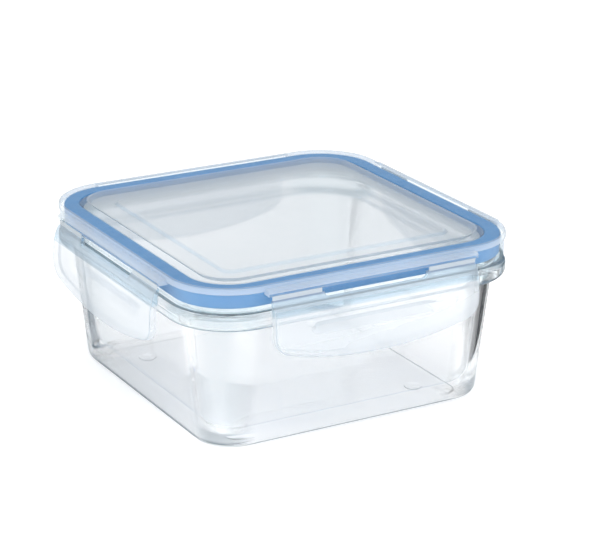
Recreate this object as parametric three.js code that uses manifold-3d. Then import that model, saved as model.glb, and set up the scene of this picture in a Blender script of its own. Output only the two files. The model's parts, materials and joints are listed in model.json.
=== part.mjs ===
// Square glass food container with a four-latch snap lid, in millimetres, +Z up.
// The origin is the middle of the base, on the surface that the feet stand on.
// The lid lies flat on top, and its four latches hang from film hinges, one on each side.

import * as THREE from 'three';
import { mergeVertices } from 'three/addons/utils/BufferGeometryUtils.js';
import Module from 'manifold-3d';

// Overall form: every outline is a rounded square, and all corners share one centre line.
const HEIGHT = 72.4;
const LID_HALF = 76;
const CORNER_CENTRE = 49.5;
const SMALLEST_CORNER = 4.5;
const CORNER_STEPS = 6;
const CURVE_STEPS = 3;
const GAP = 0.3;

// Glass dish.
const FOOT_HEIGHT = 0.4;
const FOOT_RADIUS = 4;
const FOOT_OFFSET = 42;
const FLOOR_TOP = 5;
const BASE_HALF = 60;
const FLOOR_HALF = 53;
const BASE_CURVE_TOP = 10.3;
const FLOOR_CURVE_TOP = 14;
const FLANGE_HALF = 76.2;
const FLANGE_BOTTOM = 54.2;
const FLANGE_TOP = 60.7;
const LIP_TOP = 65.7;
const LIP_OUTER = 71.5;
const MOUTH_HALF = 67.8;
const WALL_BOTTOM_HALF = 65.5;
const WALL_TOP_HALF = 70.5;
const GLASS_THICKNESS = 3.8;

// Lid moulding.
const PLATE = 1.3;
const RIM_PLATE = 2;
const LEDGE_DROP = 2;
const PANEL_DROP = 1.1;
const PANEL_HALF = 51.6;
const LEDGE_HALF = 62;
const RIM_INNER = 63.2;
const CAP_DEPTH = 4.3;
const SKIRT_HALF = 75.3;
const SKIRT_INNER = 73.8;
const SKIRT_BOTTOM = 61.1;
const PLUG_OUTER = 66.9;
const PLUG_INNER = 65.5;
const PLUG_BOTTOM = 64.7;

// Seal, which fills the channel between the skirt and the plug wall.
const SEAL_FACE = LIP_TOP + GAP;
const SEAL_LEG_BOTTOM = 63.9;
const SEAL_LEG_INNER = 72;

// Latches and their film hinges, drawn for the front (-Y) side. "Out" is the distance
// from the middle of the container.
const HINGE_OUT = 79.3;
const HINGE_Z = 67.7;
const HINGE_CLEAR = 0.8;
const HINGE_BAR_OUT = 79.5;
const HINGE_BAR_HALF = 47.8;
const HINGE_BAR_TOP = 70.8;
const LATCH_HALF = 46.7;
const LATCH_TOP = HINGE_Z - HINGE_CLEAR;
const LATCH_BOTTOM = 38.8;
const LATCH_SAG_RADIUS = 150;
const LATCH_CORNER = 8;
const SKIN = 1.6;
const EDGE_WALL = 1.8;
const SLOT_HALF = 23.5;
const SLOT_BOTTOM = 64.6;
const SLOT_CORNER = 1.8;
const RIB_HALF = 30;
const RIB_TIP_OUT = 76.6;
const RIB_TOP = 53.9;
const RIB_TIP_BOTTOM = 52.3;
const RIB_ROOT_BOTTOM = 50.4;
const FILM_THICKNESS = 0.4;
const FILM_HEIGHT = 1;
const FILM_INNER_END = 24.5;
const FILM_OUTER_END = 46.4;

const SIDES = ['front', 'right', 'back', 'left'];

const wasm = await Module();
wasm.setup();

const glass = new THREE.MeshStandardMaterial({
  color: 0xdcebec, roughness: 0.04, metalness: 0, transparent: true, opacity: 0.4,
});
const clearPlastic = { color: 0xdde6ec, roughness: 0.34, metalness: 0 };
const silicone = new THREE.MeshStandardMaterial({ color: 0x6e9fd2, roughness: 0.55, metalness: 0 });

// A closed three.js geometry as a manifold-3d solid, and back.
function toSolid(geometry) {
  const bare = geometry.clone();
  bare.deleteAttribute('normal');
  bare.deleteAttribute('uv');
  const merged = mergeVertices(bare, 1e-4);
  return new wasm.Manifold(new wasm.Mesh({
    numProp: 3,
    vertProperties: Float32Array.from(merged.attributes.position.array),
    triVerts: Uint32Array.from(merged.index.array),
  }));
}

function toGeometry(solid) {
  const mesh = solid.getMesh();
  const geometry = new THREE.BufferGeometry();
  geometry.setAttribute('position', new THREE.BufferAttribute(mesh.vertProperties, 3));
  geometry.setIndex(new THREE.BufferAttribute(mesh.triVerts, 1));
  geometry.computeVertexNormals();
  return geometry;
}

// One rounded-square ring of points, anticlockwise from above.
function ring(half, z) {
  const radius = Math.max(half - CORNER_CENTRE, SMALLEST_CORNER);
  const centre = half - radius;
  const points = [];
  for (let corner = 0; corner < 4; corner += 1) {
    const sx = corner === 0 || corner === 3 ? 1 : -1;
    const sy = corner < 2 ? 1 : -1;
    for (let step = 0; step <= CORNER_STEPS; step += 1) {
      const angle = (corner + step / CORNER_STEPS) * Math.PI / 2;
      points.push(sx * centre + radius * Math.cos(angle), sy * centre + radius * Math.sin(angle), z);
    }
  }
  return points;
}

// Skins a half section carried round the rounded square. The section is a path of
// (half width, z) that keeps its material on the right. An open section is capped at
// both ends, and a looped one closes on itself.
function sweepSection(path, looped = false) {
  const section = path.getPoints(CURVE_STEPS);
  if (looped) {
    section.pop();
  }
  const count = 4 * (CORNER_STEPS + 1);
  const positions = section.flatMap((point) => ring(point.x, point.y));
  const index = [];
  const bands = looped ? section.length : section.length - 1;
  for (let i = 0; i < bands; i += 1) {
    const near = i * count;
    const far = ((i + 1) % section.length) * count;
    for (let j = 0; j < count; j += 1) {
      const next = (j + 1) % count;
      index.push(near + j, far + j, near + next);
      index.push(far + j, far + next, near + next);
    }
  }
  if (!looped) {
    capRing(positions, index, 0, count, section[0].y, false);
    capRing(positions, index, (section.length - 1) * count, count, section.at(-1).y, true);
  }
  const geometry = new THREE.BufferGeometry();
  geometry.setAttribute('position', new THREE.Float32BufferAttribute(positions, 3));
  geometry.setIndex(index);
  return toSolid(geometry);
}

function capRing(positions, index, start, count, z, facesDown) {
  const centre = positions.length / 3;
  positions.push(0, 0, z);
  for (let j = 0; j < count; j += 1) {
    const here = start + j;
    const next = start + (j + 1) % count;
    index.push(centre, facesDown ? next : here, facesDown ? here : next);
  }
}

// Extrudes a side view, drawn as (out, z), along the front side over the span x0 to x1.
function extrudeAlong(shape, x0, x1) {
  const geometry = new THREE.ExtrudeGeometry(shape, {
    depth: x1 - x0, bevelEnabled: false, curveSegments: CURVE_STEPS,
  });
  const basis = new THREE.Matrix4().makeBasis(
    new THREE.Vector3(0, -1, 0), new THREE.Vector3(0, 0, 1), new THREE.Vector3(-1, 0, 0),
  );
  geometry.applyMatrix4(basis.setPosition(x1, 0, 0));
  return toSolid(geometry);
}

// Extrudes a front view, drawn as (x, z), outwards through the whole latch.
function extrudeOutwards(shape, curveSegments) {
  const depth = 10;
  const geometry = new THREE.ExtrudeGeometry(shape, { depth, bevelEnabled: false, curveSegments });
  const basis = new THREE.Matrix4().makeBasis(
    new THREE.Vector3(1, 0, 0), new THREE.Vector3(0, 0, 1), new THREE.Vector3(0, -1, 0),
  );
  geometry.applyMatrix4(basis.setPosition(0, -SKIRT_HALF, 0));
  return toSolid(geometry);
}

// The dish: floor, flared walls, and a thick rounded flange with a lip above it.
function makeDish() {
  const innerBottom = WALL_BOTTOM_HALF - GLASS_THICKNESS;
  const edge = 0.6;
  const flangeEdge = 1.8;
  const section = new THREE.Path()
    .moveTo(FLOOR_HALF, FLOOR_TOP)
    .quadraticCurveTo(innerBottom - edge, FLOOR_TOP, innerBottom, FLOOR_CURVE_TOP)
    .lineTo(MOUTH_HALF, LIP_TOP - edge)
    .quadraticCurveTo(MOUTH_HALF, LIP_TOP, MOUTH_HALF + edge, LIP_TOP)
    .lineTo(LIP_OUTER - edge, LIP_TOP)
    .quadraticCurveTo(LIP_OUTER, LIP_TOP, LIP_OUTER, LIP_TOP - edge)
    .lineTo(LIP_OUTER, FLANGE_TOP + edge)
    .lineTo(LIP_OUTER + edge, FLANGE_TOP)
    .lineTo(FLANGE_HALF - flangeEdge, FLANGE_TOP)
    .quadraticCurveTo(FLANGE_HALF, FLANGE_TOP, FLANGE_HALF, FLANGE_TOP - flangeEdge)
    .lineTo(FLANGE_HALF, FLANGE_BOTTOM + flangeEdge)
    .quadraticCurveTo(FLANGE_HALF, FLANGE_BOTTOM, FLANGE_HALF - flangeEdge, FLANGE_BOTTOM)
    .quadraticCurveTo(WALL_TOP_HALF + edge, FLANGE_BOTTOM, WALL_TOP_HALF, FLANGE_BOTTOM - flangeEdge)
    .lineTo(WALL_BOTTOM_HALF, BASE_CURVE_TOP)
    .quadraticCurveTo(WALL_BOTTOM_HALF - edge, FOOT_HEIGHT, BASE_HALF, FOOT_HEIGHT);
  let dish = sweepSection(section);
  for (const x of [-FOOT_OFFSET, FOOT_OFFSET]) {
    for (const y of [-FOOT_OFFSET, FOOT_OFFSET]) {
      dish = dish.add(makeFoot(x, y));
    }
  }
  return dish;
}

function makeFoot(x, y) {
  const profile = new THREE.Path()
    .moveTo(0, 0)
    .lineTo(FOOT_RADIUS - FOOT_HEIGHT, 0)
    .lineTo(FOOT_RADIUS, FOOT_HEIGHT)
    .lineTo(FOOT_RADIUS, 2 * FOOT_HEIGHT)
    .lineTo(0, 2 * FOOT_HEIGHT);
  const geometry = new THREE.LatheGeometry(profile.getPoints(), 16);
  geometry.rotateX(Math.PI / 2);
  geometry.translate(x, y, 0);
  return toSolid(geometry);
}

// The lid: a raised window panel inside a stacking recess, the rim with the seal channel
// under it, the skirt that drops round the glass, and the bars that carry the hinges.
function makeLid() {
  const edge = 0.8;
  const ledgeTop = HEIGHT - LEDGE_DROP;
  const panelTop = HEIGHT - PANEL_DROP;
  const section = new THREE.Path()
    .moveTo(PANEL_HALF, panelTop)
    .lineTo(PANEL_HALF + edge, ledgeTop)
    .lineTo(LEDGE_HALF, ledgeTop)
    .lineTo(RIM_INNER, HEIGHT - 0.4)
    .lineTo(RIM_INNER + edge, HEIGHT)
    .lineTo(LID_HALF - edge, HEIGHT)
    .quadraticCurveTo(LID_HALF, HEIGHT, LID_HALF, HEIGHT - edge)
    .lineTo(LID_HALF, HEIGHT - CAP_DEPTH)
    .lineTo(SKIRT_HALF, HEIGHT - CAP_DEPTH)
    .lineTo(SKIRT_HALF, SKIRT_BOTTOM)
    .lineTo(SKIRT_INNER, SKIRT_BOTTOM)
    .lineTo(SKIRT_INNER, HEIGHT - RIM_PLATE)
    .lineTo(PLUG_OUTER, HEIGHT - RIM_PLATE)
    .lineTo(PLUG_OUTER, PLUG_BOTTOM)
    .lineTo(PLUG_INNER, PLUG_BOTTOM)
    .lineTo(PLUG_INNER, ledgeTop - PLATE)
    .lineTo(PANEL_HALF + edge, ledgeTop - PLATE)
    .lineTo(PANEL_HALF, panelTop - PLATE);
  let lid = sweepSection(section);
  for (let quarter = 0; quarter < SIDES.length; quarter += 1) {
    lid = lid.add(makeHingeBar().rotate([0, 0, quarter * 90]));
  }
  return lid;
}

function makeHingeBar() {
  const root = SKIRT_HALF - 0.5;
  const bottom = HINGE_Z + HINGE_CLEAR;
  const shoulder = 1;
  const profile = new THREE.Shape()
    .moveTo(root, bottom)
    .lineTo(HINGE_BAR_OUT, bottom)
    .lineTo(HINGE_BAR_OUT, HINGE_BAR_TOP - shoulder)
    .quadraticCurveTo(HINGE_BAR_OUT, HINGE_BAR_TOP, HINGE_BAR_OUT - shoulder, HINGE_BAR_TOP)
    .lineTo(root, HINGE_BAR_TOP);
  return extrudeAlong(profile, -HINGE_BAR_HALF, HINGE_BAR_HALF);
}

// The seal: a square ring in the lid's channel with a leg outside the glass lip.
function makeSeal() {
  const top = HEIGHT - RIM_PLATE - GAP;
  const outer = SKIRT_INNER - GAP;
  const inner = PLUG_OUTER + GAP;
  const section = new THREE.Path()
    .moveTo(inner, top)
    .lineTo(outer, top)
    .lineTo(outer, SEAL_LEG_BOTTOM)
    .lineTo(SEAL_LEG_INNER, SEAL_LEG_BOTTOM)
    .lineTo(SEAL_LEG_INNER, SEAL_FACE)
    .lineTo(inner, SEAL_FACE)
    .lineTo(inner, top);
  return sweepSection(section, true);
}

// The latch's outer face in side view, bowed out from the hinge and back at the grip edge.
function latchFace() {
  return new THREE.SplineCurve([
    new THREE.Vector2(79.85, LATCH_TOP),
    new THREE.Vector2(81.5, 63.5),
    new THREE.Vector2(82.7, 58.5),
    new THREE.Vector2(83.1, 51),
    new THREE.Vector2(82.8, 43.5),
    new THREE.Vector2(82.3, LATCH_BOTTOM - 0.5),
  ]).getPoints(10);
}

// A slab behind the latch's face, between two depths measured inwards from it. The slab
// thins out towards the hinge, where only the skin is left.
function latchSlab(nearDepth, farDepth) {
  const face = latchFace();
  const behind = (point, depth) => {
    const fade = Math.min(1, (LATCH_TOP - point.y) / 6);
    const extra = Math.max(depth - SKIN, 0) * fade;
    return new THREE.Vector2(point.x - Math.min(depth, SKIN) - extra, point.y);
  };
  const outline = [
    ...face.map((point) => behind(point, nearDepth)),
    ...face.map((point) => behind(point, farDepth)).reverse(),
  ];
  return extrudeAlong(new THREE.Shape(outline), -LATCH_HALF, LATCH_HALF);
}

// The latch in front view: straight sides, a sagging lower edge and rounded lower
// corners, all drawn in by the inset.
function latchOutline(inset) {
  const half = LATCH_HALF - inset;
  const sag = LATCH_SAG_RADIUS - inset;
  const corner = LATCH_CORNER - inset;
  const sagCentre = LATCH_BOTTOM + LATCH_SAG_RADIUS;
  const cornerX = half - corner;
  const cornerZ = sagCentre - Math.sqrt((sag - corner) ** 2 - cornerX ** 2);
  const lean = Math.atan2(cornerX, sagCentre - cornerZ);
  const down = -Math.PI / 2;
  return new THREE.Shape()
    .moveTo(-half, LATCH_TOP + 1)
    .lineTo(-half, cornerZ)
    .absarc(-cornerX, cornerZ, corner, Math.PI, Math.PI * 1.5 - lean, false)
    .absarc(0, sagCentre, sag, down - lean, down + lean, false)
    .absarc(cornerX, cornerZ, corner, down + lean, 0, false)
    .lineTo(half, LATCH_TOP + 1);
}

function slotOutline() {
  const top = LATCH_TOP + 1;
  const cornerX = SLOT_HALF - SLOT_CORNER;
  const cornerZ = SLOT_BOTTOM + SLOT_CORNER;
  return new THREE.Shape()
    .moveTo(-SLOT_HALF, top)
    .lineTo(-SLOT_HALF, cornerZ)
    .absarc(-cornerX, cornerZ, SLOT_CORNER, Math.PI, Math.PI * 1.5, false)
    .absarc(cornerX, cornerZ, SLOT_CORNER, Math.PI * 1.5, 0, false)
    .lineTo(SLOT_HALF, top);
}

// The catch rib on the latch's inner face, which locks under the glass flange.
function makeRib() {
  const root = 82;
  const profile = new THREE.Shape()
    .moveTo(root, RIB_ROOT_BOTTOM)
    .lineTo(root, RIB_TOP)
    .lineTo(RIB_TIP_OUT, RIB_TOP - 0.3)
    .lineTo(RIB_TIP_OUT, RIB_TIP_BOTTOM);
  return extrudeAlong(profile, -RIB_HALF, RIB_HALF);
}

function makeLatch() {
  const skinAndEdge = latchSlab(0, 2 * SKIN).intersect(extrudeOutwards(latchOutline(0), 8));
  const pocket = latchSlab(SKIN, 2 * SKIN + 1).intersect(extrudeOutwards(latchOutline(EDGE_WALL), 8));
  return skinAndEdge
    .subtract(pocket)
    .subtract(extrudeOutwards(slotOutline(), CURVE_STEPS))
    .add(makeRib());
}

// One film web of a hinge, waisted in the middle where it bends.
function makeFilm(x0, x1) {
  const thick = FILM_THICKNESS / 2;
  const waist = thick / 2;
  const tall = FILM_HEIGHT / 2;
  const profile = new THREE.Shape()
    .moveTo(HINGE_OUT - thick, HINGE_Z - tall)
    .lineTo(HINGE_OUT + thick, HINGE_Z - tall)
    .lineTo(HINGE_OUT + waist, HINGE_Z)
    .lineTo(HINGE_OUT + thick, HINGE_Z + tall)
    .lineTo(HINGE_OUT - thick, HINGE_Z + tall)
    .lineTo(HINGE_OUT - waist, HINGE_Z);
  return extrudeAlong(profile, x0, x1);
}

function addPart(parent, name, solid, material) {
  const mesh = new THREE.Mesh(toGeometry(solid), material);
  mesh.name = name;
  parent.add(mesh);
}

const container = new THREE.Group();
addPart(container, 'glass_dish', makeDish(), glass);
addPart(container, 'lid_cover', makeLid(), new THREE.MeshStandardMaterial(clearPlastic));
addPart(container, 'seal_ring', makeSeal(), silicone);

const latchSolid = makeLatch();
const films = [
  ['a', makeFilm(-FILM_OUTER_END, -FILM_INNER_END)],
  ['b', makeFilm(FILM_INNER_END, FILM_OUTER_END)],
];
SIDES.forEach((side, quarter) => {
  const sideGroup = new THREE.Group();
  sideGroup.rotation.z = quarter * Math.PI / 2;
  addPart(sideGroup, `latch_${side}`, latchSolid, new THREE.MeshStandardMaterial(clearPlastic));
  for (const [end, film] of films) {
    addPart(sideGroup, `film_hinge_${side}_${end}`, film, new THREE.MeshStandardMaterial(clearPlastic));
  }
  container.add(sideGroup);
});

export default container;
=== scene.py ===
import json
import math

import bmesh
import bpy
from mathutils import Matrix, Vector


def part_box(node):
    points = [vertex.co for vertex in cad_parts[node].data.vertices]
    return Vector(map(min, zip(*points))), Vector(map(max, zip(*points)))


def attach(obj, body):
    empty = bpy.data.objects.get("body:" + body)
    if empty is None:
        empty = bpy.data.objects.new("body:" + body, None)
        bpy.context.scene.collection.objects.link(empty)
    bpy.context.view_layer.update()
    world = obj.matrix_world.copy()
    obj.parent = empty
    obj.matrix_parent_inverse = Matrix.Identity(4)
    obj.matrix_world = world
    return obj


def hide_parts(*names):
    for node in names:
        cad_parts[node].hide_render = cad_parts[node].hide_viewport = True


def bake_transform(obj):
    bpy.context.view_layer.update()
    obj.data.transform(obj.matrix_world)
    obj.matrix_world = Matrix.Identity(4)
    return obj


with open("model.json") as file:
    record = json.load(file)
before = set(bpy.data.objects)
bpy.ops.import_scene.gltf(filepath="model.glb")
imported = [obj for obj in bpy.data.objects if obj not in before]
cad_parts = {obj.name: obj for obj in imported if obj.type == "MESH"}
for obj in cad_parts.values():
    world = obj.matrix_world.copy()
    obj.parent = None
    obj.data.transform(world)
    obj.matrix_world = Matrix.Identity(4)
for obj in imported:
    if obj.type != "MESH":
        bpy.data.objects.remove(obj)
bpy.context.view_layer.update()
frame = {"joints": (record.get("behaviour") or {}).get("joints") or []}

# Square glass container, lid with four latches: the looks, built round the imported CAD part.
# Lengths in this script are millimetres until a mesh is made. "Half" is half of a width,
# and "out" is a distance outwards from the container's middle.
MM = 0.001


def cad(node, corner, axis):
    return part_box(node)[corner][axis] / MM


LID_TOP = cad("lid_cover", 1, 2)
LID_BOTTOM = cad("lid_cover", 0, 2)
BAR_OUT = cad("lid_cover", 1, 0)
LIP_TOP = cad("glass_dish", 1, 2)
FLANGE_HALF = cad("glass_dish", 1, 0)
SEAL_TOP = cad("seal_ring", 1, 2)
SEAL_BOTTOM = cad("seal_ring", 0, 2)
SEAL_HALF = cad("seal_ring", 1, 0)
LATCH_HALF = cad("latch_front", 1, 0)
LATCH_TOP = cad("latch_front", 1, 2)
LATCH_BOTTOM = cad("latch_front", 0, 2)
RIB_TIP_OUT = -cad("latch_front", 1, 1)
HINGE = next(j for j in frame["joints"] if j["name"] == "latch_front_hinge")["pos_m"]
HINGE_OUT = -HINGE[1] / MM
HINGE_Z = HINGE[2] / MM
FILM_OUTER_END = cad("film_hinge_front_b", 1, 0)
FILM_INNER_END = cad("film_hinge_front_b", 0, 0)

# The corners of every rounded square have their centres this far out, unless they would get too small.
CORNER_CENTRE = 49.5
SMALLEST_CORNER = 4.5
CORNER_STEPS = 16
# SIDE_STOPS: the points along a side, as shares of it. HOLD: how far beside an arc its hold points lie.
SIDE_STOPS = (0.008, 0.03, 0.25, 0.5, 0.75, 0.97, 0.992)
HOLD = 0.35
CREASE = 38
SIDES = ("front", "right", "back", "left")


# ---------------------------------------------------------------- mesh helpers
def rounded(corners, steps=5, closed=False):
    """A line through (a, b, radius) corners, each rounded off, with a hold point beside each arc."""
    count = len(corners)
    line = []
    for i, (a, b, radius) in enumerate(corners):
        here = Vector((a, b))
        if radius == 0 or (not closed and i in (0, count - 1)):
            line.append(here)
            continue
        before = Vector(corners[i - 1][:2]) - here
        after = Vector(corners[(i + 1) % count][:2]) - here
        half_angle = before.angle(after) / 2
        room = 0.47 * min(before.length, after.length)
        cut = min(radius / math.tan(half_angle), room)
        before.normalize()
        after.normalize()
        fitted = cut * math.tan(half_angle)
        centre = here + (before + after).normalized() * fitted / math.sin(half_angle)
        start = here + before * cut - centre
        end = here + after * cut - centre
        turn = start.angle(end)
        if cut + HOLD < room:
            line.append(here + before * (cut + HOLD))
        for k in range(steps + 1):
            t = k / steps
            arm = (start * math.sin((1 - t) * turn) + end * math.sin(t * turn)) / math.sin(turn)
            line.append(centre + arm)
        if cut + HOLD < room:
            line.append(here + after * (cut + HOLD))
    return line


def ring(half, z):
    """One rounded square, anticlockwise from above."""
    radius = max(half - CORNER_CENTRE, SMALLEST_CORNER)
    reach = half - radius
    quarter = []
    for step in range(CORNER_STEPS + 1):
        angle = step / CORNER_STEPS * math.pi / 2
        quarter.append((reach + radius * math.cos(angle), reach + radius * math.sin(angle)))
    for stop in SIDE_STOPS:
        quarter.append((reach * (1 - 2 * stop), half))
    points = []
    for turn in range(4):
        c, s = ((1, 0), (0, 1), (-1, 0), (0, -1))[turn]
        points += [Vector((x * c - y * s, x * s + y * c, z)) for x, y in quarter]
    return points


def shade(bm, crease):
    """Smooth faces, with every edge sharper than the crease angle kept sharp."""
    for face in bm.faces:
        face.smooth = True
    for edge in bm.edges:
        edge.smooth = len(edge.link_faces) != 2 or edge.calc_face_angle(0) < math.radians(crease)


def finish_mesh(bm, name, crease=CREASE):
    """Turns a bmesh in millimetres into a smooth object in metres, with sharp edges kept sharp."""
    bmesh.ops.remove_doubles(bm, verts=bm.verts, dist=1e-4)
    bmesh.ops.recalc_face_normals(bm, faces=bm.faces)
    shade(bm, crease)
    bmesh.ops.scale(bm, vec=(MM, MM, MM), verts=bm.verts)
    mesh = bpy.data.meshes.new(name)
    bm.to_mesh(mesh)
    bm.free()
    piece = bpy.data.objects.new(name, mesh)
    bpy.context.scene.collection.objects.link(piece)
    return piece


def sweep(section, looped=False):
    """Carries a section of (half, z) points round the rounded square."""
    bm = bmesh.new()
    rings = [[bm.verts.new(p) for p in ring(point[0], point[1])] for point in section]
    pairs = list(zip(rings, rings[1:]))
    if looped:
        pairs.append((rings[-1], rings[0]))
    for low, high in pairs:
        for i in range(len(low)):
            j = (i + 1) % len(low)
            bm.faces.new((low[i], low[j], high[j], high[i]))
    if not looped:
        bm.faces.new(rings[0])
        bm.faces.new(rings[-1])
    return bm


def extrude_along(outline, x0, x1, slices=1):
    """A side view, drawn as (out, z), carried along the front side from x0 to x1."""
    bm = bmesh.new()
    rows = []
    for k in range(slices + 1):
        x = x0 + (x1 - x0) * k / slices
        rows.append([bm.verts.new((x, -p[0], p[1])) for p in outline])
    for low, high in zip(rows, rows[1:]):
        for i in range(len(low)):
            j = (i + 1) % len(low)
            bm.faces.new((low[i], low[j], high[j], high[i]))
    bm.faces.new(rows[0])
    bm.faces.new(rows[-1])
    return bm


def join(target, others):
    """Unites other objects with the target and removes them."""
    bpy.context.view_layer.objects.active = target
    for other in others:
        modifier = target.modifiers.new("join", "BOOLEAN")
        modifier.operation = "UNION"
        modifier.solver = "EXACT"
        modifier.object = other
        bpy.ops.object.modifier_apply(modifier=modifier.name)
        bpy.data.objects.remove(other)
    return target


def resharpen(piece):
    """Merges the tiny edges that a union leaves and marks the sharp edges afresh."""
    bm = bmesh.new()
    bm.from_mesh(piece.data)
    bmesh.ops.remove_doubles(bm, verts=bm.verts, dist=2e-6)
    shade(bm, CREASE)
    bm.to_mesh(piece.data)
    bm.free()


def turned_copy(piece, name, quarter):
    """A copy of a front-side piece, turned to another side, with the turn in its mesh."""
    copy = piece.copy()
    copy.data = piece.data.copy()
    copy.name = copy.data.name = name
    bpy.context.scene.collection.objects.link(copy)
    copy.data.transform(Matrix.Rotation(quarter * math.pi / 2, 4, "Z"))
    return copy


# ---------------------------------------------------------------- materials
def new_material(name):
    material = bpy.data.materials.new(name)
    material.use_nodes = True
    tree = material.node_tree
    tree.nodes.clear()
    output = tree.nodes.new("ShaderNodeOutputMaterial")
    shader = tree.nodes.new("ShaderNodeBsdfPrincipled")
    return material, tree, output, shader


def noise(tree, scale, detail=3.0):
    coordinate = tree.nodes.new("ShaderNodeTexCoord")
    texture = tree.nodes.new("ShaderNodeTexNoise")
    texture.inputs["Scale"].default_value = scale
    texture.inputs["Detail"].default_value = detail
    tree.links.new(coordinate.outputs["Object"], texture.inputs["Vector"])
    return texture.outputs["Fac"]


def ranged(tree, value, low, high, start=0.3, stop=0.7):
    node = tree.nodes.new("ShaderNodeMapRange")
    node.inputs["From Min"].default_value = start
    node.inputs["From Max"].default_value = stop
    node.inputs["To Min"].default_value = low
    node.inputs["To Max"].default_value = high
    tree.links.new(value, node.inputs["Value"])
    return node.outputs["Result"]


def tinted(tree, value, low, high, start=0.3, stop=0.7):
    ramp = tree.nodes.new("ShaderNodeValToRGB")
    ramp.color_ramp.elements[0].position = start
    ramp.color_ramp.elements[0].color = (*low, 1)
    ramp.color_ramp.elements[1].position = stop
    ramp.color_ramp.elements[1].color = (*high, 1)
    tree.links.new(value, ramp.inputs["Fac"])
    return ramp.outputs["Color"]


def bump(tree, shader, height, strength, distance):
    node = tree.nodes.new("ShaderNodeBump")
    node.inputs["Strength"].default_value = strength
    node.inputs["Distance"].default_value = distance
    tree.links.new(height, node.inputs["Height"])
    tree.links.new(node.outputs["Normal"], shader.inputs["Normal"])
    return node.outputs["Normal"]


def mix_shaders(tree, factor, first, second):
    node = tree.nodes.new("ShaderNodeMixShader")
    tree.links.new(factor, node.inputs["Fac"])
    tree.links.new(first, node.inputs[1])
    tree.links.new(second, node.inputs[2])
    return node.outputs["Shader"]


CORNER_BAND = (46, 58)
GLASS_SHADOW = (0.985, 0.988, 0.993)


def transparent(tree, colour):
    node = tree.nodes.new("ShaderNodeBsdfTransparent")
    node.inputs["Color"].default_value = (*colour, 1)
    return node.outputs["BSDF"]


def edge_tint(tree, normal, clear, edge, start, stop):
    """The tint of what shows through: clear face on, darker where the surface turns away. The darkening
    is painted shade that stands in for refraction at rounded and grazing surfaces.
    """
    weight = tree.nodes.new("ShaderNodeLayerWeight")
    weight.inputs["Blend"].default_value = 0.5
    if normal is not None:
        tree.links.new(normal, weight.inputs["Normal"])
    node = tree.nodes.new("ShaderNodeBsdfTransparent")
    tint = tinted(tree, weight.outputs["Facing"], clear, edge, start, stop)
    tree.links.new(tint, node.inputs["Color"])
    return node.outputs["BSDF"]


def corner_mask(tree, start, stop):
    """0 along the sides and 1 at the corners, from the distance to the nearer middle line."""
    coordinate = tree.nodes.new("ShaderNodeTexCoord")
    split = tree.nodes.new("ShaderNodeSeparateXYZ")
    tree.links.new(coordinate.outputs["Object"], split.inputs["Vector"])
    nearer = tree.nodes.new("ShaderNodeMath")
    nearer.operation = "MINIMUM"
    for axis in (0, 1):
        size = tree.nodes.new("ShaderNodeMath")
        size.operation = "ABSOLUTE"
        tree.links.new(split.outputs[axis], size.inputs[0])
        tree.links.new(size.outputs[0], nearer.inputs[axis])
    return ranged(tree, nearer.outputs[0], 0.0, 1.0, start * MM, stop * MM)


def glass_material(
    name, side_bend, corner_bend, clear, edge, corner=None, start=0.68, stop=0.95, depth=1.0
):
    """Pressed soda-lime glass: clear, a little blue-green where it is thick, its surface gently uneven.
    It bends the share side_bend of the light along the sides and corner_bend at the corners. The rest
    passes straight on, tinted by clear (or corner, at the corners) face on and by edge where the surface
    turns away, between the start and stop of that turn; that edge tint is painted shade standing in for
    refraction. A corner tint is partly the thick glass's own colour and partly painted refraction. A
    higher depth tints as thicker glass does."""
    material, tree, output, shader = new_material(name)
    shader.inputs["Transmission Weight"].default_value = 1
    shader.inputs["IOR"].default_value = 1.5
    surface = noise(tree, 34, 2)
    thin = tuple(c ** depth for c in (0.965, 0.984, 0.988))
    thick = tuple(c ** depth for c in (0.950, 0.975, 0.982))
    tree.links.new(tinted(tree, surface, thick, thin), shader.inputs["Base Color"])
    tree.links.new(ranged(tree, noise(tree, 160), 0.004, 0.010), shader.inputs["Roughness"])
    normal = bump(tree, shader, surface, 0.03, 0.0002)
    mask = corner_mask(tree, *CORNER_BAND)
    straight = edge_tint(tree, normal, clear, edge, start, stop)
    if corner is not None:
        straight = mix_shaders(tree, mask, straight, edge_tint(tree, normal, corner, edge, start, stop))
    share = ranged(tree, mask, side_bend, corner_bend, 0.0, 1.0)
    clean = mix_shaders(tree, share, straight, shader.outputs["BSDF"])
    path = tree.nodes.new("ShaderNodeLightPath")
    unshaded = transparent(tree, GLASS_SHADOW)
    mixed = mix_shaders(tree, path.outputs["Is Shadow Ray"], clean, unshaded)
    tree.links.new(mixed, output.inputs["Surface"])
    return material


def plastic_material(name, facing, grazing, clear, edge, start=0.8, lighter=0.0):
    """Natural polypropylene: see-through, with a milky body and a soft gloss. The milk's share of each
    surface runs from facing to grazing. What shows through is tinted clear face on, to edge where the
    surface turns away; that darker edge tint is painted shade standing in for refraction."""
    material, tree, output, shader = new_material(name)
    cloud = noise(tree, 22, 4)
    dull = tuple(c + lighter for c in (0.66, 0.72, 0.76))
    bright = tuple(c + lighter for c in (0.72, 0.765, 0.80))
    tree.links.new(tinted(tree, cloud, dull, bright), shader.inputs["Base Color"])
    tree.links.new(ranged(tree, noise(tree, 45, 1), 0.29, 0.34), shader.inputs["Roughness"])
    shader.inputs["IOR"].default_value = 1.49
    normal = bump(tree, shader, noise(tree, 240, 2), 0.04, 0.0002)
    weight = tree.nodes.new("ShaderNodeLayerWeight")
    weight.inputs["Blend"].default_value = 0.35
    tree.links.new(normal, weight.inputs["Normal"])
    milk = ranged(tree, weight.outputs["Facing"], facing, grazing, 0.1, 1.0)
    straight = edge_tint(tree, normal, clear, edge, start, 1.0)
    tree.links.new(mix_shaders(tree, milk, straight, shader.outputs["BSDF"]), output.inputs["Surface"])
    return material


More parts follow.
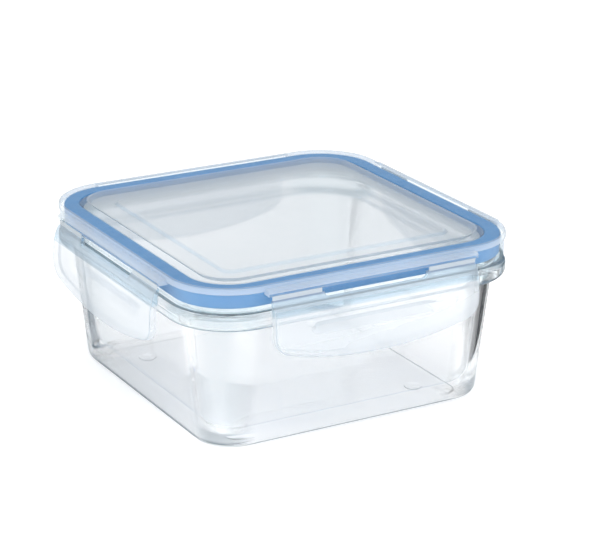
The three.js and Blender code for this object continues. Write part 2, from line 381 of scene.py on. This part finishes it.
def silicone_material():
    """Satin blue silicone, evenly coloured through, with a faintly dusty moulded surface."""
    material, tree, output, shader = new_material("blue_silicone")
    colour = tinted(tree, noise(tree, 60, 4), (0.035, 0.25, 0.56), (0.05, 0.29, 0.62))
    tree.links.new(colour, shader.inputs["Base Color"])
    tree.links.new(ranged(tree, noise(tree, 300, 3), 0.38, 0.55), shader.inputs["Roughness"])
    bump(tree, shader, noise(tree, 1500, 2), 0.15, 0.0001)
    tree.links.new(shader.outputs["BSDF"], output.inputs["Surface"])
    return material


def floor_material():
    """Matt white, glowing a little, so that it is as white as the surround."""
    material, tree, output, shader = new_material("pale_floor")
    colour = tinted(tree, noise(tree, 2.5, 2), (0.925, 0.925, 0.93), (0.94, 0.94, 0.94))
    tree.links.new(colour, shader.inputs["Base Color"])
    tree.links.new(ranged(tree, noise(tree, 40), 0.75, 0.85), shader.inputs["Roughness"])
    shader.inputs["Emission Color"].default_value = (1, 1, 1, 1)
    shader.inputs["Emission Strength"].default_value = 0.30
    tree.links.new(shader.outputs["BSDF"], output.inputs["Surface"])
    return material


# ---------------------------------------------------------------- glass dish
FOOT_HEIGHT = 0.4
FOOT_RADIUS = 4.0
FOOT_OFFSET = 42.0
FOOT_LET_IN = 1.5
FOOT_SIDES = 32
BASE_HOLLOW = FOOT_HEIGHT + 0.45
BASE_RIM = 56.5
FLAT_HALF = 40.0
FLOOR_TOP = 5.0
WALL_LOW_OUT = 65.5
WALL_HIGH_OUT = 70.5
GLASS = 3.8
FLANGE_TOP = 60.7
FLANGE_BOTTOM = 54.2
LIP_OUTER = 71.5
MOUTH = 67.8


def make_dish():
    """The pressed dish, from its floor over the lip and down to its base, with four feet."""
    section = rounded([
        (FLAT_HALF, FLOOR_TOP, 0),
        (WALL_LOW_OUT - GLASS - 0.9, FLOOR_TOP, 9.0),
        (MOUTH, LIP_TOP, 0.9),
        (LIP_OUTER, LIP_TOP, 0.9),
        (LIP_OUTER, FLANGE_TOP, 0.8),
        (FLANGE_HALF, FLANGE_TOP, 2.2),
        (FLANGE_HALF, FLANGE_BOTTOM, 2.2),
        (WALL_HIGH_OUT, FLANGE_BOTTOM, 1.6),
        (WALL_LOW_OUT - 0.6, FOOT_HEIGHT, 6.0),
        (BASE_RIM, FOOT_HEIGHT, 1.2),
        (BASE_RIM - 0.9, BASE_HOLLOW, 0.8),
        (FLAT_HALF, BASE_HOLLOW, 0),
    ], steps=7)
    dish = finish_mesh(sweep(section), "dish_glass_body")
    feet = []
    for x in (-FOOT_OFFSET, FOOT_OFFSET):
        for y in (-FOOT_OFFSET, FOOT_OFFSET):
            feet.append(make_foot(x, y))
    join(dish, feet)
    resharpen(dish)
    return dish


def make_foot(x, y):
    """A low round foot with softened edges, let into the base."""
    profile = rounded([
        (0.0, 0.0, 0),
        (FOOT_RADIUS - 0.9, 0.0, 0.6),
        (FOOT_RADIUS, BASE_HOLLOW, 0.3),
        (FOOT_RADIUS, FOOT_LET_IN, 0),
        (0.0, FOOT_LET_IN, 0),
    ], steps=3)
    bm = bmesh.new()
    angles = [k * math.tau / FOOT_SIDES for k in range(FOOT_SIDES)]
    rows = []
    for radius, z in profile[1:-1]:
        rows.append([
            bm.verts.new((x + radius * math.cos(angle), y + radius * math.sin(angle), z))
            for angle in angles
        ])
    for low, high in zip(rows, rows[1:]):
        for i in range(FOOT_SIDES):
            j = (i + 1) % FOOT_SIDES
            bm.faces.new((low[i], low[j], high[j], high[i]))
    bm.faces.new(rows[0])
    bm.faces.new(rows[-1])
    return finish_mesh(bm, "foot")


# ---------------------------------------------------------------- lid moulding
# The plate over the seal, the cap and the seal itself differ a little from the CAD's, because the real
# plate bends light and shows the seal nearer than it is.
PLATE = 1.3
RIM_PLATE = 0.95
PANEL_DEPTH = 1.1
PANEL_FLAT_HALF = 30.0
PANEL_HALF = 51.6
LEDGE_DEPTH = 2.0
LEDGE_HALF = 62.0
RIM_INNER = 63.2
LID_HALF = 76.0
CAP_DEPTH = 2.8
SKIRT_HALF = 75.3
SKIRT_INNER = 73.8
PLUG_OUTER = 66.9
PLUG_INNER = 65.5
PLUG_BOTTOM = 64.7
BAR_HALF = 47.8
BAR_TOP = 70.8
BAR_LET_IN = 0.4
HINGE_CLEAR = 0.8


def make_lid():
    """The lid moulding, from its window over the cap and back underneath, with four hinge bars."""
    ledge = LID_TOP - LEDGE_DEPTH
    panel = LID_TOP - PANEL_DEPTH
    section = rounded([
        (PANEL_FLAT_HALF, panel, 0),
        (PANEL_HALF, panel, 0.5),
        (PANEL_HALF + 1.1, ledge, 0.5),
        (LEDGE_HALF, ledge, 0.5),
        (RIM_INNER, LID_TOP, 0.9),
        (LID_HALF, LID_TOP, 1.1),
        (LID_HALF, LID_TOP - CAP_DEPTH, 0.35),
        (SKIRT_HALF, LID_TOP - CAP_DEPTH, 0.25),
        (SKIRT_HALF, LID_BOTTOM, 0.45),
        (SKIRT_INNER, LID_BOTTOM, 0.45),
        (SKIRT_INNER, LID_TOP - RIM_PLATE, 0.4),
        (PLUG_OUTER, LID_TOP - RIM_PLATE, 0.4),
        (PLUG_OUTER, PLUG_BOTTOM, 0.4),
        (PLUG_INNER, PLUG_BOTTOM, 0.4),
        (PLUG_INNER, ledge - PLATE, 0.5),
        (PANEL_HALF + 0.9, ledge - PLATE, 0.5),
        (PANEL_HALF - 0.1, panel - PLATE, 0.5),
        (PANEL_FLAT_HALF, panel - PLATE, 0),
    ], steps=4)
    lid = finish_mesh(sweep(section), "lid_moulding")
    outline = rounded([
        (SKIRT_HALF - BAR_LET_IN, HINGE_Z + HINGE_CLEAR, 0),
        (BAR_OUT, HINGE_Z + HINGE_CLEAR, 0.3),
        (BAR_OUT, BAR_TOP, 1.1),
        (SKIRT_HALF - BAR_LET_IN, BAR_TOP, 0),
    ], steps=4)
    bars = []
    for quarter in range(4):
        bar = finish_mesh(extrude_along(outline, -BAR_HALF, BAR_HALF), "bar")
        bevel_ends(bar, BAR_HALF, 0.8)
        bar.data.transform(Matrix.Rotation(quarter * math.pi / 2, 4, "Z"))
        bars.append(bar)
    join(lid, bars)
    resharpen(lid)
    return lid


def bevel_ends(piece, half, width):
    """Rounds the rims of the two end faces of a piece made along the front side."""
    bm = bmesh.new()
    bm.from_mesh(piece.data)
    limit = (half - 0.01) * MM
    edges = [e for e in bm.edges if all(abs(v.co.x) > limit for v in e.verts)]
    bmesh.ops.bevel(
        bm, geom=edges, offset=width * MM, segments=3, profile=0.5, affect="EDGES", clamp_overlap=True
    )
    for face in bm.faces:
        face.smooth = True
    bm.to_mesh(piece.data)
    bm.free()


# ---------------------------------------------------------------- seal
GAP = 0.3
SEAL_LEG_INNER = 72.0
SEAL_LEG_EXTRA = 0.6
SEAL_GROOVE = 0.7


def make_seal():
    """The seal: a flat ring over the glass lip, with a shallow groove, and a leg outside the lip."""
    inner = PLUG_OUTER + GAP
    face = LIP_TOP + GAP
    groove = face + SEAL_GROOVE
    top = LID_TOP - RIM_PLATE - GAP
    bottom = SEAL_BOTTOM - SEAL_LEG_EXTRA
    section = rounded([
        (inner, top, 0.35),
        (SEAL_HALF, top, 0.35),
        (SEAL_HALF, bottom, 0.4),
        (SEAL_LEG_INNER, bottom, 0.4),
        (SEAL_LEG_INNER, face, 0.3),
        (70.9, face, 0.2),
        (70.4, groove, 0.2),
        (69.2, groove, 0.2),
        (68.7, face, 0.2),
        (inner, face, 0.35),
    ], steps=3, closed=True)
    return finish_mesh(sweep(section, looped=True), "seal_silicone_ring")


# ---------------------------------------------------------------- latches
# FACE is the latch's face in side view, as (out, z) points from its top down. The rib is the catch.
SKIN = 1.6
RIM_DEPTH = 3.2
RIM_FADE = 6.0
EDGE_WALL = 1.8
EDGE_RADIUS = 0.55
EDGE_STEPS = 4
SLOT_HALF = 23.5
SLOT_BOTTOM = 64.6
LATCH_CORNER = 8.0
SAG_RADIUS = 150.0
CUT_SPACING = 1.2
RIB_ROOT = 82.0
RIB_HALF = 30.0
RIB_FADE = 5.0
RIB_END_SHARE = 0.12
FILM_THIN = 0.16
FILM_EXTRA = 0.34
FACE = ((79.85, 66.9), (81.5, 63.5), (82.7, 58.5), (83.1, 51.0), (82.8, 43.5), (82.3, 38.3))


def latch_face(z):
    """How far out the latch's face is at a height: a smooth curve through the FACE points."""
    heights = [p[1] for p in FACE]
    i = 0
    while i < len(FACE) - 2 and z < heights[i + 1]:
        i += 1
    p0, p1, p2, p3 = (FACE[min(max(i + k, 0), len(FACE) - 1)] for k in (-1, 0, 1, 2))
    t = (z - p1[1]) / (p2[1] - p1[1])
    slope_a = (p2[0] - p0[0]) / (p2[1] - p0[1]) * (p2[1] - p1[1])
    slope_b = (p3[0] - p1[0]) / (p3[1] - p1[1]) * (p2[1] - p1[1])
    t2, t3 = t * t, t * t * t
    return (
        (2 * t3 - 3 * t2 + 1) * p1[0] + (t3 - 2 * t2 + t) * slope_a
        + (3 * t2 - 2 * t3) * p2[0] + (t3 - t2) * slope_b
    )


def latch_loop(inset):
    """The latch's outline in front view, drawn in by the inset, always with the same count of points."""
    half = LATCH_HALF - inset
    top = LATCH_TOP - inset
    slot = SLOT_HALF + inset
    slot_low = SLOT_BOTTOM - inset
    corner = LATCH_CORNER - inset
    sag = SAG_RADIUS - inset
    centre = LATCH_BOTTOM + SAG_RADIUS
    cx = half - corner
    cz = centre - math.sqrt((sag - corner) ** 2 - cx ** 2)
    lean = math.atan2(cx, centre - cz)
    points = []

    def arc(x, z, radius, start, end, steps):
        for k in range(steps + 1):
            angle = start + (end - start) * k / steps
            points.append((x + radius * math.cos(angle), z + radius * math.sin(angle)))

    ear = max(1.3 - inset, 0.25)
    notch = max(0.9 - inset, 0.2)
    fillet = 2.2 + inset
    down = -math.pi / 2
    arc(-half + ear, top - ear, ear, math.pi / 2, math.pi, 4)
    arc(-cx, cz, corner, math.pi, 1.5 * math.pi - lean, 10)
    arc(0, centre, sag, down - lean, down + lean, 30)
    arc(cx, cz, corner, down + lean, 0, 10)
    arc(half - ear, top - ear, ear, 0, math.pi / 2, 4)
    arc(slot + notch, top - notch, notch, math.pi / 2, math.pi, 3)
    arc(slot - fillet, slot_low + fillet, fillet, 0, -math.pi / 2, 6)
    arc(-slot + fillet, slot_low + fillet, fillet, -math.pi / 2, -math.pi, 6)
    arc(-slot - notch, top - notch, notch, 0, math.pi / 2, 3)
    return points


def make_latch():
    """One latch: a skin with a rounded edge and a deeper edge wall behind it, made flat as (inset, depth)
    levels of its outline, then bent to its face."""
    levels = []
    for k in range(EDGE_STEPS + 1):
        angle = k / EDGE_STEPS * math.pi / 2
        levels.append((EDGE_RADIUS * (1 - math.sin(angle)), EDGE_RADIUS * (1 - math.cos(angle))))
    levels += [
        (0.0, RIM_DEPTH - 0.4),
        (0.12, RIM_DEPTH - 0.12),
        (0.4, RIM_DEPTH),
        (EDGE_WALL - 0.4, RIM_DEPTH),
        (EDGE_WALL - 0.12, RIM_DEPTH - 0.12),
        (EDGE_WALL, RIM_DEPTH - 0.4),
        (EDGE_WALL, SKIN + 0.4),
        (EDGE_WALL + 0.15, SKIN + 0.12),
        (EDGE_WALL + 0.5, SKIN),
    ]
    bm = bmesh.new()
    loops = [[bm.verts.new((x, depth, z)) for x, z in latch_loop(inset)] for inset, depth in levels]
    for outer, inner in zip(loops, loops[1:]):
        for i in range(len(outer)):
            j = (i + 1) % len(outer)
            bm.faces.new((outer[i], outer[j], inner[j], inner[i]))
    bm.faces.new(loops[0])
    bm.faces.new(loops[-1])
    bmesh.ops.remove_doubles(bm, verts=bm.verts, dist=1e-4)
    z = LATCH_BOTTOM + 1.0
    while z < LATCH_TOP - 0.3:
        everything = bm.verts[:] + bm.edges[:] + bm.faces[:]
        bmesh.ops.bisect_plane(bm, geom=everything, dist=1e-5, plane_co=(0, 0, z), plane_no=(0, 0, 1))
        z += CUT_SPACING
    for vertex in bm.verts:
        depth = vertex.co.y
        fade = min(1.0, max(0.0, (LATCH_TOP - vertex.co.z) / RIM_FADE))
        depth = min(depth, SKIN) + max(depth - SKIN, 0.0) * fade
        vertex.co.y = -(latch_face(vertex.co.z) - depth)
    latch = finish_mesh(bm, "latch_front_moulding")
    join(latch, [make_rib()])
    resharpen(latch)
    return latch


def make_rib():
    """The catch rib, a rounded wedge that tapers off at both ends."""
    outline = rounded([
        (RIB_ROOT, 50.0, 0),
        (RIB_ROOT, 54.1, 0),
        (RIB_TIP_OUT, 53.7, 0.5),
        (RIB_TIP_OUT, 52.2, 0.5),
    ], steps=4, closed=True)
    rib = extrude_along(outline, -RIB_HALF, RIB_HALF, slices=30)
    for vertex in rib.verts:
        fade = min(1.0, (RIB_HALF - abs(vertex.co.x)) / RIB_FADE)
        fade = fade * fade * (3 - 2 * fade)
        share = RIB_END_SHARE + (1 - RIB_END_SHARE) * fade
        vertex.co.y = -(RIB_ROOT - (RIB_ROOT + vertex.co.y) * share)
    return finish_mesh(rib, "rib")


def make_film(x0, x1):
    """One film web from the bar down to the latch, thinnest on the hinge line where it bends."""
    bm = bmesh.new()
    rows = []
    count = 12
    tall = HINGE_CLEAR + 0.05
    columns = 8
    for k in range(count + 1):
        t = 2 * k / count - 1
        rows.append((HINGE_Z + t * tall, FILM_THIN + FILM_EXTRA * abs(t) ** 2.2))
    along = [x0 + (x1 - x0) * c / columns for c in range(columns + 1)]
    front = [[bm.verts.new((x, -(HINGE_OUT + thick / 2), z)) for x in along] for z, thick in rows]
    back = [[bm.verts.new((x, -(HINGE_OUT - thick / 2), z)) for x in along] for z, thick in rows]
    for sheet in (front, back):
        for low, high in zip(sheet, sheet[1:]):
            for i in range(columns):
                bm.faces.new((low[i], low[i + 1], high[i + 1], high[i]))
    for end in (0, columns):
        for k in range(count):
            bm.faces.new((front[k][end], front[k + 1][end], back[k + 1][end], back[k][end]))
    for end in (0, count):
        for i in range(columns):
            bm.faces.new((front[end][i], front[end][i + 1], back[end][i + 1], back[end][i]))
    return finish_mesh(bm, "film_web", crease=50)


# Painted light: the dark lines and the bluer upper part of the latches are painted refraction, standing
# for what thick or rounded glass and plastic do to light. The teal corners of the flange are partly the
# thick glass's own tint and partly painted refraction. The dark rim under the skirt is painted shade in
# the gap over the flange.
LATCH_UPPER = 60.6


def out_of(point):
    """The half width, in millimetres, of the rounded square that a point in metres lies on."""
    x, y = abs(point.x) / MM, abs(point.y) / MM
    round_corner = math.hypot(max(x - CORNER_CENTRE, 0), max(y - CORNER_CENTRE, 0)) + CORNER_CENTRE
    return max(x, y, round_corner)


def vary_dish(dish, thick, edge, inner):
    """The flange and lip are thick glass, and their rounded edges get painted darker lines, shade that
    stands in for refraction. The slots are 0 outside, 1 flange and lip, 2 their rounded edges, 3 inside."""
    for material in (thick, edge, inner):
        dish.data.materials.append(material)
    for face in dish.data.polygons:
        z = face.center.z / MM
        out = out_of(face.center)
        rounded_off = 0.2 < abs(face.normal.z) < 0.97
        in_flange = z > FLANGE_BOTTOM - 1.5 and out > WALL_HIGH_OUT - 0.3
        in_lip = z > LIP_TOP - 0.9
        faces_in = face.center.xy.dot(face.normal.xy) < 0
        faces_up = face.normal.z > 0.9
        if in_flange or in_lip:
            face.material_index = 2 if rounded_off else 1
        elif z > FLOOR_TOP - 0.1 and (faces_in or faces_up):
            face.material_index = 3


def vary_lid(lid, clear, milky, edge, skirt, painted_gap_shade):
    """The plate and skirt that lie on the seal show it clearly. The thick cap and hinge bars are milkier,
    and the lid's steps and rounded edges get painted darker lines, shade that stands in for refraction.
    The slots are 0 window, 1 plate over the seal, 2 side of the cap and bars, 3 steps and rounded edges,
    4 skirt, 5 rim under the skirt, which gets painted shade for the dark gap over the glass flange."""
    for material in (clear, milky, edge, skirt, painted_gap_shade):
        lid.data.materials.append(material)
    cap_bottom = LID_TOP - CAP_DEPTH
    for face in lid.data.polygons:
        out = out_of(face.center)
        z = face.center.z / MM
        sloping = 0.2 < abs(face.normal.z) < 0.95
        if SEAL_TOP < z and PLUG_OUTER - 0.5 < out < SEAL_HALF + 0.4:
            face.material_index = 1
        elif SEAL_BOTTOM - 0.4 < z < cap_bottom - 0.1 and out > SEAL_HALF:
            face.material_index = 4
        cap_side = out > LID_HALF - 0.5 or (out > SKIRT_HALF and face.normal.z < 0.5)
        if cap_side and z > cap_bottom - 0.1:
            face.material_index = 2
        if sloping and out < RIM_INNER + 0.6 and z > LID_TOP - 3.0:
            face.material_index = 3
        # Painted shade for the dark gap between the skirt's lower rim and the glass flange.
        if abs(z - LID_BOTTOM) < 0.46:
            face.material_index = 5
        if sloping and out > LID_HALF - 0.7 and z < cap_bottom + 0.5:
            face.material_index = 3


def vary_latch(latch, quarter, edge, upper):
    """The rounded outline of a latch gets a painted thin darker line, shade that stands in for
    refraction, and its upper part a painted bluer tint that stands in for the blue seal seen through it
    by refraction.
    The slots are 0 latch, 1 outline, 2 upper part."""
    for material in (edge, upper):
        latch.data.materials.append(material)
    outwards = Matrix.Rotation(quarter * math.pi / 2, 3, "Z") @ Vector((0, -1, 0))
    for face in latch.data.polygons:
        depth = latch_face(min(face.center.z / MM, LATCH_TOP)) - face.center.dot(outwards) / MM
        if 0.2 < face.normal.dot(outwards) < 0.95 and depth < 0.6:
            face.material_index = 1
        elif face.center.z / MM > LATCH_UPPER:
            face.material_index = 2


# ---------------------------------------------------------------- build the object
def dress(piece, material, body, slot, *nodes):
    """Gives a piece its material and body, and hides the CAD nodes it stands for. The slot is not used. A
    film has no one body.
    """
    piece.data.materials.clear()
    piece.data.materials.append(material)
    if body is not None:
        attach(piece, body)
    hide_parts(*nodes)


# Glass: the share bent along the sides and at the corners, then the tints face on, where it turns away
# and at the corners. Plastic: the milk face on and at grazing angles, then the first two tints.
# The dish's dark edge tint is painted shade: dark outlines where the glass turns away, standing in for
# refraction.
glass = glass_material(
    "pressed_glass", 0.10, 1.00, (0.996, 0.996, 0.997), (0.10, 0.16, 0.20), start=0.61
)
inner_glass = glass_material(
    "pressed_glass_inner", 0.06, 0.95, (0.997, 0.997, 0.998), (0.90, 0.92, 0.94)
)
# The flange's teal corners are partly the thick glass's own tint and partly painted refraction shade.
flange_glass = glass_material(
    "pressed_glass_flange", 0.20, 0.90, (0.975, 0.98, 0.99), (0.40, 0.54, 0.60),
    corner=(0.50, 0.70, 0.78), depth=3.5
)
# Painted shade: dark lines on the rounded edges of the flange and lip, teal at the corners, standing in
# for refraction.
painted_line_glass = glass_material(
    "pressed_glass_painted_lines", 0.35, 0.70, (0.78, 0.82, 0.85), (0.16, 0.28, 0.36),
    corner=(0.22, 0.38, 0.46), start=0.5, depth=3.5
)
lid_plastic = plastic_material(
    "natural_pp_lid", 0.22, 0.50, (0.87, 0.88, 0.89), (0.45, 0.56, 0.66)
)
rim_plastic = plastic_material(
    "natural_pp_on_seal", 0.02, 0.12, (0.91, 0.93, 0.945), (0.40, 0.50, 0.62), start=0.85
)
thick_plastic = plastic_material(
    "natural_pp_thick", 0.42, 0.55, (0.95, 0.97, 0.985), (0.40, 0.50, 0.60), lighter=0.12
)
skirt_plastic = plastic_material(
    "natural_pp_skirt", 0.08, 0.20, (0.965, 0.99, 1.0), (0.40, 0.50, 0.62), start=0.85, lighter=0.12
)
latch_plastic = plastic_material(
    "natural_pp_latch", 0.24, 0.55, (0.975, 0.978, 0.985), (0.42, 0.50, 0.58), start=0.75, lighter=0.14
)
# Painted shade: darker lines on the lid's steps and rounded edges and round the latches' outlines,
# standing in for refraction.
painted_line_plastic = plastic_material(
    "natural_pp_painted_lines", 0.30, 0.50, (0.74, 0.82, 0.88), (0.35, 0.45, 0.55), start=0.6
)
# Painted refraction: a bluer tint on the latches' upper part, for the blue seal seen through it.
latch_painted_seal_blue = plastic_material(
    "natural_pp_latch_painted_seal_blue", 0.16, 0.50, (0.80, 0.885, 0.94), (0.42, 0.50, 0.58), start=0.75
)
# Painted shade: the dark rim under the skirt, for the gap over the glass flange.
shadow_plastic = plastic_material(
    "natural_pp_painted_gap_shade", 0.06, 0.10, (0.22, 0.30, 0.34), (0.10, 0.15, 0.18), start=0.7
)
film_plastic = plastic_material(
    "natural_pp_film", 0.60, 0.85, (0.98, 0.985, 0.99), (0.8, 0.85, 0.9)
)
silicone = silicone_material()

dish = make_dish()
dress(dish, glass, "dish", "dish_glass", "glass_dish")
vary_dish(dish, flange_glass, painted_line_glass, inner_glass)
lid = make_lid()
dress(lid, lid_plastic, "lid", "lid_plastic", "lid_cover")
vary_lid(lid, rim_plastic, thick_plastic, painted_line_plastic, skirt_plastic, shadow_plastic)
dress(make_seal(), silicone, "lid", "seal_silicone", "seal_ring")

# The film webs reach a little past HINGE_CLEAR above the hinge line and as far below it.
front_latch = make_latch()
webs = {
    "a": make_film(-FILM_OUTER_END, -FILM_INNER_END),
    "b": make_film(FILM_INNER_END, FILM_OUTER_END),
}
for quarter, side in enumerate(SIDES):
    latch_body = "latch_" + side
    latch = turned_copy(front_latch, latch_body + "_moulding", quarter)
    dress(latch, latch_plastic, latch_body, "latch_plastic", latch_body)
    vary_latch(latch, quarter, painted_line_plastic, latch_painted_seal_blue)
    for end, web in webs.items():
        film = turned_copy(web, f"film_web_{side}_{end}", quarter)
        dress(film, film_plastic, None, "latch_plastic", f"film_hinge_{side}_{end}")
        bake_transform(film)
bpy.data.objects.remove(front_latch)
for web in webs.values():
    bpy.data.objects.remove(web)


# ---------------------------------------------------------------- stage, light and camera
# Places of the camera and light are metres, the rest is millimetres, and angles are degrees.
WORLD_LIGHT = 0.9
WORLD_SEEN = 1.05
FLOOR_HALF = 4000
FLOOR_DROP = 0.05
KEY_PLACE = (-0.5, -0.9, 1.4)
KEY_TARGET = (0, 0, 0.03)
KEY_SIDE = 0.8
KEY_ENERGY = 9.0
CAMERA_AZIMUTH = -29.574
CAMERA_ELEVATION = 19.654
CAMERA_ROLL = 0.198
CAMERA_DISTANCE = 0.9416
CAMERA_TARGET = (0.00372, -0.01221, 0.0478)
CAMERA_LENS = 134.64
FLAG_AZIMUTH = -29.6
FLAG_OFFSET = 109.0
FLAG_START = -15.0
FLAG_STOP = 155.0
FLAG_HEIGHT = 110.0
FLAG_FADE = (40.0, 150.0)
FLAG_TOP_FADE = (55.0, 105.0)
FLAG_PARTS = 8


def make_floor():
    bm = bmesh.new()
    bmesh.ops.create_grid(bm, x_segments=8, y_segments=8, size=FLOOR_HALF)
    floor = finish_mesh(bm, "floor")
    floor.location.z = -FLOOR_DROP * MM
    floor.data.materials.append(floor_material())


def card_material(name, ahead):
    """Black card that fades out towards its far end and its top."""
    material, tree, output, shader = new_material(name)
    colour = tinted(tree, noise(tree, 30), (0.012, 0.014, 0.018), (0.02, 0.022, 0.026))
    tree.links.new(colour, shader.inputs["Base Color"])
    shader.inputs["Roughness"].default_value = 0.9
    coordinate = tree.nodes.new("ShaderNodeTexCoord")
    fades = []
    for direction, start, stop in ((ahead, *FLAG_FADE), (Vector((0, 0, 1)), *FLAG_TOP_FADE)):
        along = tree.nodes.new("ShaderNodeVectorMath")
        along.operation = "DOT_PRODUCT"
        along.inputs[1].default_value = direction
        tree.links.new(coordinate.outputs["Object"], along.inputs[0])
        fades.append(ranged(tree, along.outputs["Value"], 1.0, 0.0, start * MM, stop * MM))
    both = tree.nodes.new("ShaderNodeMath")
    both.operation = "MULTIPLY"
    for socket, fade in zip(both.inputs, fades):
        tree.links.new(fade, socket)
    surface = mix_shaders(tree, both.outputs[0], transparent(tree, (1, 1, 1)), shader.outputs["BSDF"])
    tree.links.new(surface, output.inputs["Surface"])
    return material


def make_flag(name, side):
    """A black card standing beside the object, in line with the photograph's view, for dark lines where
    the glass bends or mirrors light. Only glass and gloss show it."""
    towards = math.radians(FLAG_AZIMUTH)
    ahead = Vector((-math.sin(towards), math.cos(towards), 0))
    across = Vector((math.cos(towards), math.sin(towards), 0)) * side
    bm = bmesh.new()
    rows = []
    for t in range(FLAG_PARTS + 1):
        along = FLAG_START + (FLAG_STOP - FLAG_START) * t / FLAG_PARTS
        place = across * FLAG_OFFSET + ahead * along
        rows.append([bm.verts.new(place + Vector((0, 0, z))) for z in (0.2, FLAG_HEIGHT)])
    for near, far in zip(rows, rows[1:]):
        bm.faces.new((near[0], far[0], far[1], near[1]))
    flag = finish_mesh(bm, name)
    flag.data.materials.append(card_material(name + "_card", ahead))
    flag.visible_camera = False
    flag.visible_diffuse = False
    flag.visible_shadow = False


def make_key_light():
    data = bpy.data.lights.new("key", "AREA")
    data.shape = "RECTANGLE"
    data.size = data.size_y = KEY_SIDE
    data.energy = KEY_ENERGY
    light = bpy.data.objects.new("key", data)
    bpy.context.scene.collection.objects.link(light)
    light.location = KEY_PLACE
    towards = Vector(KEY_TARGET) - light.location
    light.rotation_euler = towards.to_track_quat("-Z", "Y").to_euler()


def make_world():
    """An even white surround, a little brighter where the camera looks straight at it."""
    world = bpy.data.worlds.new("studio")
    bpy.context.scene.world = world
    world.use_nodes = True
    tree = world.node_tree
    tree.nodes.clear()
    output = tree.nodes.new("ShaderNodeOutputWorld")
    background = tree.nodes.new("ShaderNodeBackground")
    background.inputs["Color"].default_value = (1, 1, 1, 1)
    path = tree.nodes.new("ShaderNodeLightPath")
    strength = ranged(tree, path.outputs["Is Camera Ray"], WORLD_LIGHT, WORLD_SEEN, 0.0, 1.0)
    tree.links.new(strength, background.inputs["Strength"])
    tree.links.new(background.outputs["Background"], output.inputs["Surface"])


def make_camera():
    """The camera: round the object by the azimuth and up by the elevation, aimed beside its middle."""
    azimuth = math.radians(CAMERA_AZIMUTH)
    elevation = math.radians(CAMERA_ELEVATION)
    roll = math.radians(CAMERA_ROLL)
    back = Vector((
        math.sin(azimuth) * math.cos(elevation),
        -math.cos(azimuth) * math.cos(elevation),
        math.sin(elevation),
    ))
    right = Vector((math.cos(azimuth), math.sin(azimuth), 0))
    up = back.cross(right)
    rolled_right = right * math.cos(roll) + up * math.sin(roll)
    rolled_up = up * math.cos(roll) - right * math.sin(roll)
    data = bpy.data.cameras.new("camera")
    data.lens = CAMERA_LENS
    data.sensor_width = 36
    data.clip_start = 0.05
    data.clip_end = 50
    camera = bpy.data.objects.new("camera", data)
    bpy.context.scene.collection.objects.link(camera)
    rotation = Matrix((rolled_right, rolled_up, back)).transposed()
    place = Vector(CAMERA_TARGET) + back * CAMERA_DISTANCE
    camera.matrix_world = Matrix.Translation(place) @ rotation.to_4x4()
    bpy.context.scene.camera = camera


make_floor()
make_world()
make_flag("flag_right", 1)
make_flag("flag_left", -1)
make_key_light()
make_camera()
bpy.context.scene.view_settings.view_transform = "Standard"
bpy.context.scene.cycles.max_bounces = 90
bpy.context.scene.cycles.transmission_bounces = 90
bpy.context.scene.cycles.glossy_bounces = 8
bpy.context.scene.cycles.transparent_max_bounces = 24
